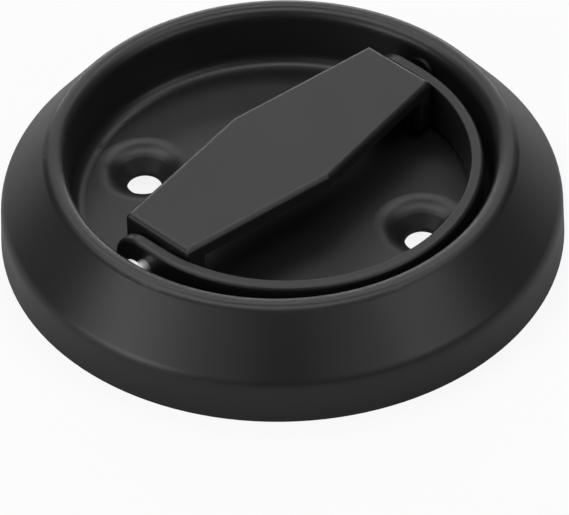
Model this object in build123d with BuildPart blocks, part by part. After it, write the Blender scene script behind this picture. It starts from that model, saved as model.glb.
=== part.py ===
from build123d import *
from math import asin, atan2, cos, hypot, radians, tan
import os

# Recessed pull handle: a round pressed cup that is let into a panel, with a lever across it.
# Pressing the far half of the plate swings the half ring up out of the cup.
# Origin: middle of the cup's rim plane, on the panel. X lies along the pivot, Z points out of the cup.

# Cup, pressed from sheet
outer_radius = 40.0  # foot of the band around the outside
cup_sheet = 1.1  # thickness of the pressed sheet
band_height = 6.2  # from the panel to the corner of the flange
band_taper = 0.3  # the band is narrower at the flange than at the panel
band_corner = 3.0  # rounding between band and flange
well_radius = 29.7  # foot of the well's wall, inner face
wall_draft = 3.5  # degrees that the wall leans outwards
crest_height = 14.8  # top of the rolled crest
crest_radius = 1.85  # rounding of the crest, on its outer face
floor_height = 5.55  # upper face of the floor above the panel
floor_corner = 2.0  # rounding where the wall meets the floor

# Screw seats in the floor
screw_inset = 9.0  # from the foot of the well's wall to the screws' middles
screw_turn = 115.5  # degrees from the pivot to the first screw
screw_bore = 5.0  # hole diameter
seat_diameter = 10.4  # dimple's cone where it would meet the floor unrounded
seat_angle = 90.0  # full angle of the screw head's cone
seat_lip = 4.2  # rounding of the dimple's mouth
seat_land = 0.75  # straight edge of the hole below the cone

# Pivot
pivot_rise = 4.95  # pivot above the floor
pin_radius = 1.2
collar_radius = 2.2
collar_width = 0.6
pin_tail = 0.9  # pin past the outer face of the wall
pin_end = 0.6  # pin past the inner face of the plate's end
pin_rounding = 0.3  # chamfer of both ends
running_play = 0.05  # radial, pin in the wall
press_play = 0.01  # radial, pin in the lever
collar_gap = 0.4  # between collar and wall

# Half ring, a strip standing on edge
leg_gap = 2.8  # from the wall to the ring's legs, at the pivot
ring_strip = 1.8  # thickness
ring_rise = 3.4  # top edge above the pivot
ring_set = 1.7  # centre of the bow in front of the pivot
tail_reach = 6.0  # legs past the pivot
tail_corner = 4.5  # rounding of the legs' upper corner
ring_edge = 0.6  # rounding of the outer upper edge
ring_inner_edge = 0.25  # rounding of the inner upper edge
bow_gap = 1.05  # from the floor to the lower edge at rest, clear of the well's rounded corner
rest_gap = 0.3  # between the lever and the floor at the stop
stop_angle = 35.0  # degrees of travel until the tails meet the floor

# Press plate, pressed from sheet with its edges turned down
plate_sheet = 1.2
plate_step = 1.2  # plate's top above the ring's top
plate_gap = 0.7  # between the plate's end and the leg
plate_middle = 9.4  # half width in the middle
plate_tip = 6.0  # half width at the ends
plate_corner = 0.2  # rounding of the six upright corners
plate_edge = 0.9  # rounding of the upper edge
lip_depth = 2.2  # long edges, turned down
ear_return = 1.6  # length of full depth behind each end wall
ear_drop = 2.8  # end walls below the pivot
ear_clearance = 0.3  # kept by the ears when the tails are down

wall_lean = tan(radians(wall_draft))


def wall_radius(height):
    """Inner radius of the leaning wall at a height above the panel."""
    return well_radius + (height - floor_height) * wall_lean


# Worked-out places
screw_circle = 2 * (well_radius - screw_inset)
pivot_height = floor_height + pivot_rise
pivot_wall = wall_radius(pivot_height)
ring_outer = pivot_wall - leg_gap
ring_inner = ring_outer - ring_strip
ring_top = pivot_height + ring_rise
ring_bottom = floor_height + bow_gap
plate_end = ring_inner - plate_gap
plate_top = ring_top + plate_step
pivot_axis = Axis((0, 0, pivot_height), (1, 0, 0))

# The flange runs from the band's corner to the crest's arc and touches that arc.
# Carried on to the wall's line, it meets it in a sharp corner that the crest then rounds.
band_top = outer_radius - band_taper
crest_middle = crest_height - crest_radius
crest_out = band_top - wall_radius(crest_middle) - crest_radius / cos(radians(wall_draft))
crest_up = crest_middle - band_height
crest_slope = tan(atan2(crest_up, crest_out) + asin(crest_radius / hypot(crest_out, crest_up)))
flange_rise = (band_top - wall_radius(band_height)) / (1 / crest_slope + wall_lean)
crest_corner = band_height + flange_rise

# The tails stop the lever when their lower edges lie on the floor, turned by the stop angle.
stop_slope = tan(radians(stop_angle))


def stop_line(reach, clearance):
    """Lowest height of a lever point, so far past the pivot, that clears the floor at the stop."""
    drop = (pivot_rise - clearance) / cos(radians(stop_angle))
    return pivot_height - drop + reach * stop_slope


def slope_start(height, clearance):
    """Distance past the pivot at which the stop line reaches a height."""
    return (height - stop_line(0, clearance)) / stop_slope


# Cup: one line for the visible skin, thickened to the back and turned about the Z axis.
# The band leans, so its foot is cut level with the panel.
with BuildPart() as cup:
    with BuildSketch(Plane.XZ):
        with BuildLine():
            FilletPolyline(
                (0, floor_height),
                (well_radius, floor_height),
                (wall_radius(crest_corner), crest_corner),
                (band_top, band_height),
                (outer_radius, 0),
                radius=[floor_corner, crest_radius, band_corner],
            )
            offset(amount=cup_sheet, side=Side.RIGHT)
        make_face()
    revolve(axis=Axis.Z)
    split(bisect_by=Plane.XY)

    # Dimples for countersunk screws, pressed down from the floor
    seat_slope = tan(radians(seat_angle / 2))
    seat_depth = (seat_diameter - screw_bore) / 2 / seat_slope + seat_land
    with BuildSketch(Plane.XY.offset(floor_height)):
        with PolarLocations(screw_circle / 2, 2, start_angle=screw_turn):
            Circle(seat_diameter / 2 + cup_sheet / cos(radians(seat_angle / 2)))
    extrude(amount=-seat_depth, taper=seat_angle / 2)
    with Locations(Plane.XY.offset(floor_height)):
        with PolarLocations(screw_circle / 2, 2, start_angle=screw_turn):
            CounterSinkHole(screw_bore / 2, seat_diameter / 2, counter_sink_angle=seat_angle)
    for face_height, bend in ((floor_height, seat_lip), (floor_height - cup_sheet, seat_lip - cup_sheet)):
        mouth_edges = cup.edges().filter_by(
            lambda edge: edge.geom_type == GeomType.CIRCLE
            and edge.radius < seat_diameter
            and abs(edge.center().Z - face_height) < 0.01
        )
        fillet(mouth_edges, radius=bend)

    # Bores for the pins, through both sides of the wall
    with Locations(Plane.YZ):
        with Locations((0, pivot_height)):
            Cylinder(pin_radius + running_play, 2 * (pivot_wall + crest_radius), mode=Mode.SUBTRACT)
cup.part.label = "cup"


def is_upper_edge(edge, reach):
    """True for a leg's or the bow's upper edge on the ring face that stands so far out."""
    on_leg = abs(abs(edge.center().X) - reach) < 0.01
    on_bow = edge.geom_type == GeomType.CIRCLE and abs(edge.radius - reach) < 0.01
    return edge.center().Z > ring_top - tail_corner and (on_leg or on_bow)


# Half ring: the plan of the bent strip, stood up, then trimmed to the side view of its tails
with BuildPart() as half_ring:
    with BuildSketch(Plane.XY.offset(ring_bottom)):
        with BuildLine():
            leg = Line((ring_outer, tail_reach), (ring_outer, -ring_set))
            bow = ThreePointArc(leg @ 1, (0, -ring_set - ring_outer), (-ring_outer, -ring_set))
            Line(bow @ 1, (-ring_outer, tail_reach))
            offset(amount=ring_strip, side=Side.RIGHT)
        make_face()
    extrude(amount=ring_top - ring_bottom)
    with BuildSketch(Plane.YZ) as tail_side:
        with BuildLine():
            Polyline(
                (-ring_set - ring_outer, ring_bottom),
                (slope_start(ring_bottom, rest_gap), ring_bottom),
                (tail_reach, stop_line(tail_reach, rest_gap)),
                (tail_reach, ring_top),
                (-ring_set - ring_outer, ring_top),
                close=True,
            )
        make_face()
        fillet(tail_side.vertices().group_by(Axis.Y)[-1].sort_by(Axis.X)[-1], radius=tail_corner)
    extrude(amount=ring_outer, both=True, mode=Mode.INTERSECT)
    for reach, rounding in ((ring_outer, ring_edge), (ring_inner, ring_inner_edge)):
        upper_edges = half_ring.edges().filter_by(lambda edge: is_upper_edge(edge, reach))
        fillet(upper_edges, radius=rounding)
    with Locations(Plane.YZ):
        with Locations((0, pivot_height)):
            Cylinder(pin_radius + press_play, 2 * ring_outer, mode=Mode.SUBTRACT)
half_ring.part.label = "half_ring"


# Press plate: a six-sided shell, its skirt cut shallow along the middle and sloped at the far corners
ear_bottom = pivot_height - ear_drop
lip_bottom = plate_top - lip_depth
with BuildPart() as press_plate:
    with BuildSketch(Plane.XY.offset(ear_bottom)):
        Polygon(
            (-plate_end, -plate_tip),
            (0, -plate_middle),
            (plate_end, -plate_tip),
            (plate_end, plate_tip),
            (0, plate_middle),
            (-plate_end, plate_tip),
            align=None,
        )
    extrude(amount=plate_top - ear_bottom)
    fillet(press_plate.edges().filter_by(Axis.Z), radius=plate_corner)
    fillet(press_plate.edges().group_by(Axis.Z)[-1], radius=plate_edge)
    offset(amount=-plate_sheet, openings=press_plate.faces().sort_by(Axis.Z)[0])
    with BuildSketch(Plane.XZ):
        ear_length = plate_sheet + ear_return
        with Locations((0, ear_bottom)):
            Rectangle(
                2 * (plate_end - ear_length),
                lip_bottom - ear_bottom,
                align=(Align.CENTER, Align.MIN),
            )
    extrude(amount=plate_middle, both=True, mode=Mode.SUBTRACT)
    with BuildSketch(Plane.YZ):
        with BuildLine():
            Polyline(
                (slope_start(ear_bottom, ear_clearance + rest_gap), ear_bottom),
                (plate_middle, stop_line(plate_middle, ear_clearance + rest_gap)),
                (plate_middle, ear_bottom),
                close=True,
            )
        make_face()
    extrude(amount=plate_end, both=True, mode=Mode.SUBTRACT)
    with Locations(Plane.YZ):
        with Locations((0, pivot_height)):
            Cylinder(pin_radius + press_play, 2 * plate_end, mode=Mode.SUBTRACT)
press_plate.part.label = "press_plate"


# Pivot pins: turned in one piece with the collar, pressed into the lever, running in the cup's wall
pin_start = plate_end - plate_sheet - pin_end
pin_stop = pivot_wall + cup_sheet + pin_tail
collar_start = pivot_wall - collar_gap - collar_width
with BuildPart() as right_pivot_pin:
    with BuildSketch(Plane.XZ) as pin_profile:
        with BuildLine():
            Polyline(
                (pin_start, pivot_height),
                (pin_start, pivot_height + pin_radius),
                (collar_start, pivot_height + pin_radius),
                (collar_start, pivot_height + collar_radius),
                (collar_start + collar_width, pivot_height + collar_radius),
                (collar_start + collar_width, pivot_height + pin_radius),
                (pin_stop, pivot_height + pin_radius),
                (pin_stop, pivot_height),
                close=True,
            )
        make_face()
        end_corners = pin_profile.vertices().group_by(Axis.Y)[1]
        chamfer([end_corners.sort_by(Axis.X)[0], end_corners.sort_by(Axis.X)[-1]], pin_rounding)
    revolve(axis=pivot_axis)
right_pivot_pin.part.label = "right_pivot_pin"

with BuildPart() as left_pivot_pin:
    add(mirror(right_pivot_pin.part, about=Plane.YZ, mode=Mode.PRIVATE))
left_pivot_pin.part.label = "left_pivot_pin"


os.makedirs("parts", exist_ok=True)
for piece in (cup, half_ring, press_plate, right_pivot_pin, left_pivot_pin):
    export_step(piece.part, f"parts/{piece.part.label}.step")
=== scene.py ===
# %% [markdown]
# # A recessed pull handle in satin black
# The handle is a round cup pressed from steel sheet. A six-sided press plate and a half ring sit on
# two small pins across the cup: a thumb on the far half of the plate swings the ring out.
# The solids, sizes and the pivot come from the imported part. They already carry every form of the real
# pieces, so this file adds no mesh to the handle. It gives the pieces their finishes, and sets up the
# camera, the light and the floor.

# %% Load the part
import math

import bpy
from mathutils import Matrix, Vector

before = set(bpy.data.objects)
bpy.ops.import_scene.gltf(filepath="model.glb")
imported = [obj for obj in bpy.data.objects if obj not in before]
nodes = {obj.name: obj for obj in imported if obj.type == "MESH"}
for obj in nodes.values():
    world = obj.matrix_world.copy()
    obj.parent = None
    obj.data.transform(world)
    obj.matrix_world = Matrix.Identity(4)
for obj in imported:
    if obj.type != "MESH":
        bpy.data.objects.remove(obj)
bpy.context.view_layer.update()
MM = 0.001
print("pieces:", sorted(nodes))

# %% [markdown]
# ## Two helpers for materials
# Colours are written as sRGB hex, the way a paint card or a picture editor gives them. Shaders
# calculate with linear light, so one function converts them. The other adds a node, sets its
# values and links its inputs in one line.


# %% Helpers for colours and nodes
def linear(hex_colour):
    """Linear RGBA of an sRGB hex colour."""
    channels = [int(hex_colour[place:place + 2], 16) / 255 for place in (1, 3, 5)]
    return [c / 12.92 if c <= 0.04045 else ((c + 0.055) / 1.055) ** 2.4 for c in channels] + [1.0]


def add_node(material, kind, inputs=None, **properties):
    """Add a node, set its properties, and give each named input a value or another node's output."""
    tree = material.node_tree
    node = tree.nodes.new(kind)
    for name, value in properties.items():
        setattr(node, name, value)
    for name, value in (inputs or {}).items():
        if isinstance(value, bpy.types.NodeSocket):
            tree.links.new(value, node.inputs[name])
        else:
            node.inputs[name].default_value = value
    return node


print("mid grey in linear light:", round(linear("#808080")[0], 3))

# %% [markdown]
# ## Satin black paint
# The sheet parts are coated with powder paint that melts and flows in an oven. It doesn't level out
# completely, so a faint orange peel with dimples about 1 mm apart is left, and every highlight is
# broad and soft. The layer is a little thicker in some places than in others, which shows as slow
# changes of gloss and tone over one or two centimetres.
#
# The peel could be modelled in the mesh, but it is only hundredths of a millimetre deep and shows
# just in the way it breaks the light, so a bump is enough. Noise textures in Object coordinates give
# both patterns, because they need no seams and keep their scale in millimetres on every piece.


# %% Powder paint
# Each noise has about one dimple or cloud per spacing, so its scale is one over that length.
PEEL_SPACING = 0.9 * MM
CLOUD_SPACING = 14 * MM


def satin_black_powder_paint(name, offset):
    """Stoved black powder paint on pressed steel: orange peel, and slow changes of gloss and tone."""
    material = bpy.data.materials.new(name)
    material.use_nodes = True
    shader = material.node_tree.nodes["Principled BSDF"]
    # Cured polyester resin is near 1.5. That is what makes the black glossy at flat angles.
    shader.inputs["IOR"].default_value = 1.49
    place = add_node(material, "ShaderNodeTexCoord").outputs["Object"]
    moved = add_node(material, "ShaderNodeMapping", {"Vector": place, "Location": offset}).outputs[0]
    cloud = add_node(material, "ShaderNodeTexNoise", {
        "Vector": moved, "Scale": 1 / CLOUD_SPACING, "Detail": 3.0, "Roughness": 0.6})
    tone = add_node(material, "ShaderNodeValToRGB", {"Fac": cloud.outputs["Fac"]})
    for stop, colour in zip(tone.color_ramp.elements, ("#1c1c1d", "#1f1f20")):
        stop.color = linear(colour)
    gloss = add_node(material, "ShaderNodeMapRange", {
        "Value": cloud.outputs["Fac"], "From Min": 0.3, "From Max": 0.7, "To Min": 0.33, "To Max": 0.39})
    peel = add_node(material, "ShaderNodeTexNoise", {
        "Vector": moved, "Scale": 1 / PEEL_SPACING, "Detail": 2.0, "Roughness": 0.5})
    bump = add_node(material, "ShaderNodeBump", {
        "Height": peel.outputs["Fac"], "Strength": 0.35, "Distance": 0.02 * MM})
    links = material.node_tree.links
    links.new(tone.outputs["Color"], shader.inputs["Base Color"])
    links.new(gloss.outputs["Result"], shader.inputs["Roughness"])
    links.new(bump.outputs["Normal"], shader.inputs["Normal"])
    return material


# Each piece is coated by itself, so each one has its own stretch of the pattern.
PAINTED = {
    "cup": ("cup_paint", (0, 0, 0)),
    "half_ring": ("ring_paint", (0.03, 0, 0)),
    "press_plate": ("plate_paint", (0, 0.04, 0)),
}
for node_name, (slot, offset) in PAINTED.items():
    nodes[node_name].data.materials[0] = satin_black_powder_paint(node_name + "_powder_paint", offset)
    print("painted", node_name)

# %% [markdown]
# ## Pivot pins
# The pins are turned on an automatic lathe, and the tool leaves fine rings round them, which blur
# the light along the pin. The left pin is plain steel. The right pin is the same steel, but its colour
# is darkened until it is hardly lighter than the paint. That is painted shade, standing in for the
# dark wall it mirrors. The rings could be cut into the mesh, but each is only about one pixel wide in
# this picture. So a band texture along the pin draws them, and it still reads as turned metal from close
# by.

# %% Pins
# The tool moves this far in one turn. At scale 1 a wave texture's band is tau / 20 long.
TOOL_FEED = 0.15 * MM


def turned_steel(name, hex_colour, roughness):
    """Free-cutting steel, with the rings that a lathe tool leaves round the pin."""
    material = bpy.data.materials.new(name)
    material.use_nodes = True
    shader = material.node_tree.nodes["Principled BSDF"]
    shader.inputs["Base Color"].default_value = linear(hex_colour)
    shader.inputs["Metallic"].default_value = 1.0
    shader.inputs["Roughness"].default_value = roughness
    place = add_node(material, "ShaderNodeTexCoord").outputs["Object"]
    rings = add_node(material, "ShaderNodeTexWave", {
        "Vector": place, "Scale": math.tau / 20 / TOOL_FEED, "Distortion": 0.4}, bands_direction="X")
    bump = add_node(material, "ShaderNodeBump", {
        "Height": rings.outputs["Fac"], "Strength": 0.2, "Distance": 0.005 * MM})
    material.node_tree.links.new(bump.outputs["Normal"], shader.inputs["Normal"])
    return material


PIN_STEEL = {
    "left_pivot_pin": turned_steel("bright_turned_steel", "#dcdcda", 0.5),
    # The right pin is the same steel with a darkened colour: painted shade, not a finish of its own.
    "right_pivot_pin": turned_steel("turned_steel_with_painted_shade", "#2c2c2d", 0.55),
}
for node_name, steel in PIN_STEEL.items():
    nodes[node_name].data.materials[0] = steel
    print(node_name, "is", steel.name)

# %% [markdown]
# ## Camera
# The photo was taken from about 0.7 m with a long lens, looking down at 42 degrees. The bow of the
# ring faces the lower right. The long sides of the plate come together a little towards the far end,
# and that gives the distance. A camera could be aimed by a Track To constraint, but the photo is
# turned and shifted a little, so three small angles are added to the straight view here.

# %% Camera
# The focal length is first given in pixels of the photo, which is how it was measured.
IMAGE_WIDTH = 569
FOCAL_PIXELS = 4925.4
SENSOR_WIDTH = 36.0
CAMERA_DISTANCE = 0.700
CAMERA_ELEVATION = math.radians(41.733)
CAMERA_AZIMUTH = math.radians(-45.5)
AIM_UP = math.radians(-0.364)
AIM_LEFT = math.radians(-0.013)
ROLL = math.radians(1.387)


def direction_from(azimuth, elevation):
    """Unit vector from the handle; azimuth 0 is along -Y, and elevation is above the floor."""
    return Vector((
        math.sin(azimuth) * math.cos(elevation),
        -math.cos(azimuth) * math.cos(elevation),
        math.sin(elevation),
    ))


back = direction_from(CAMERA_AZIMUTH, CAMERA_ELEVATION)
aim = (-back).to_track_quat("-Z", "Y").to_matrix().to_4x4()
aim @= Matrix.Rotation(AIM_LEFT, 4, "Y")
aim @= Matrix.Rotation(AIM_UP, 4, "X")
aim @= Matrix.Rotation(-ROLL, 4, "Z")
camera_data = bpy.data.cameras.new("camera")
camera_data.sensor_width = SENSOR_WIDTH
camera_data.lens = FOCAL_PIXELS / IMAGE_WIDTH * SENSOR_WIDTH
camera_data.clip_start = 0.05
camera = bpy.data.objects.new("camera", camera_data)
camera.matrix_world = Matrix.Translation(back * CAMERA_DISTANCE) @ aim
bpy.context.scene.collection.objects.link(camera)
bpy.context.scene.camera = camera
print("lens in mm:", round(camera_data.lens, 1))

# %% [markdown]
# ## Light
# Black satin paint shows the room more than its own colour. One large lamp would give it a single
# broad shine and hide its forms, so each softbox is placed by what the paint has to mirror. Two on
# the far side light the flat plate and the floor of the cup. A low strip behind the handle draws the
# thin bright line along edges that turn away from the camera. One high on the near side makes the
# crest shine. The ones to the left and right shape the flange, and the gap between them, behind the
# camera, keeps its middle dark. Together they light a white surface about as bright as it is.


# %% Softboxes
LAMP_DISTANCE = 1.0


def softbox(name, azimuth, elevation, width, height, watts):
    """Rectangular area lamp that faces the handle; azimuth 0 is behind the camera, minus is left."""
    lamp_data = bpy.data.lights.new(name, "AREA")
    lamp_data.shape = "RECTANGLE"
    lamp_data.size = width
    lamp_data.size_y = height
    lamp_data.energy = watts
    direction = direction_from(CAMERA_AZIMUTH + math.radians(azimuth), math.radians(elevation))
    lamp = bpy.data.objects.new(name, lamp_data)
    lamp.matrix_world = (
        Matrix.Translation(direction * LAMP_DISTANCE)
        @ direction.to_track_quat("Z", "Y").to_matrix().to_4x4())
    bpy.context.scene.collection.objects.link(lamp)
    return lamp


softboxes = [
    softbox("far_strip", 180, 5, 1.25, 0.14, 2.7),
    softbox("far_low", 180, 30, 1.0, 0.25, 1.5),
    softbox("far_high", 180, 60, 1.0, 0.25, 2.7),
    softbox("near_high", 0, 77, 0.8, 0.3, 2.4),
    softbox("left_near", -30, 28, 0.5, 0.35, 0.4),
    softbox("left_front", -60, 15, 0.6, 0.35, 2.4),
    softbox("left_high", -90, 58, 0.55, 0.45, 2.2),
    softbox("right_near", 30, 28, 0.5, 0.35, 0.4),
    softbox("right_front", 60, 28, 0.5, 0.35, 1.0),
    softbox("right_high", 90, 58, 0.55, 0.45, 1.2),
]
print("softboxes:", len(softboxes), "with", round(sum(lamp.data.energy for lamp in softboxes), 1), "W")

# %% [markdown]
# ## Floor and background
# The handle lies on a plain board that runs into a white background. A really white board would
# throw more light under the flange than the paint shows in the photo, so it is a light grey. To the
# camera it is shown nearly white, with only a part of its real shading, so the soft shadow stays.
# A Light Path node tells the rays apart. Those that come from a mirroring surface or through a clear
# one get a little of that white too. It is only a little, because the photo's black paint mirrors a
# dim room.

# %% Shares of white
SHOWN_WHITE = 0.8
MIRRORED_WHITE = 0.04


def white_share(owner, shown):
    """Share of white for a ray: shown to the camera itself, MIRRORED_WHITE in mirrors and glass."""
    rays = add_node(owner, "ShaderNodeLightPath")
    seen = add_node(owner, "ShaderNodeMath", {
        0: rays.outputs["Is Camera Ray"], 1: shown}, operation="MULTIPLY")
    bounced = add_node(owner, "ShaderNodeMath", {
        0: rays.outputs["Is Glossy Ray"], 1: rays.outputs["Is Transmission Ray"]}, operation="MAXIMUM")
    share = add_node(owner, "ShaderNodeMath", {
        0: bounced.outputs[0], 1: MIRRORED_WHITE, 2: seen.outputs[0]}, operation="MULTIPLY_ADD")
    return share.outputs[0]


print("share of white for the camera:", SHOWN_WHITE, "and in mirrors:", MIRRORED_WHITE)


# %% Floor
def pale_board():
    """Matt coated board in light grey, which the camera is shown nearly white."""
    material = bpy.data.materials.new("matt_coated_board")
    material.use_nodes = True
    tree = material.node_tree
    board = tree.nodes["Principled BSDF"]
    board.inputs["Base Color"].default_value = linear("#bcbcbc")
    board.inputs["Roughness"].default_value = 0.9
    white = add_node(material, "ShaderNodeEmission", {"Color": (1, 1, 1, 1), "Strength": 1.1})
    mixed = add_node(material, "ShaderNodeMixShader", {
        0: white_share(material, SHOWN_WHITE), 1: board.outputs[0], 2: white.outputs[0]})
    tree.links.new(mixed.outputs[0], tree.nodes["Material Output"].inputs["Surface"])
    return material


# A hair of room under the foot keeps its face and the board's from showing through each other.
FOOT_GAP = 0.02 * MM
bpy.ops.object.select_all(action="DESELECT")
bpy.ops.mesh.primitive_plane_add(size=6.0, location=(0, 0, -FOOT_GAP))
floor = bpy.context.object
floor.name = "floor"
floor.data.materials.append(pale_board())
print("floor is", [round(side, 1) for side in floor.dimensions[:2]], "m")

# %% World
world = bpy.data.worlds.new("studio")
world.use_nodes = True
bpy.context.scene.world = world
background = world.node_tree.nodes["Background"]
background.inputs["Color"].default_value = (1, 1, 1, 1)
world.node_tree.links.new(white_share(world, 1.0), background.inputs["Strength"])
bpy.context.scene.view_settings.view_transform = "Standard"
print("view transform:", bpy.context.scene.view_settings.view_transform)
